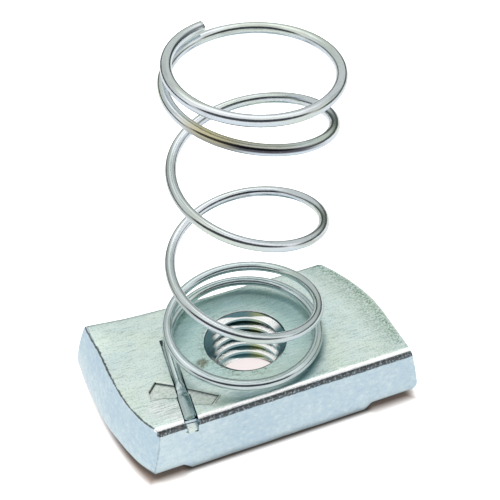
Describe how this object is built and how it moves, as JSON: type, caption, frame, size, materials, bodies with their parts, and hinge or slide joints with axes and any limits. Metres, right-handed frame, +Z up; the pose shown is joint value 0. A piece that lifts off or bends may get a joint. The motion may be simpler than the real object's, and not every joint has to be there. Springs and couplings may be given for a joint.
{
  "type": "strut channel spring nut",
  "caption": "Short steel plate nut with a central threaded hole, a toothed lower side and a tall coil spring staked to its top, held inside a slotted strut channel.",
  "frame": {"origin": "the thread's axis where it meets the underside of the central pad, which the part stands on", "axes": "+Z up the thread's axis from the toothed underside to the spring, +X along the plate, toward the side away from the staked tail of the spring, +Y across the plate, away from the edge where the groove comes out"},
  "size_m": [0.0376, 0.0196, 0.046],
  "materials": {
    "plate_zinc": "bright zinc plating over pressed steel",
    "spring_wire": "bright zinc plating on drawn spring wire"
  },
  "bodies": {
    "root": {"nut_plate": "plate_zinc", "coil_spring": "spring_wire"}
  },
  "joints": []
}
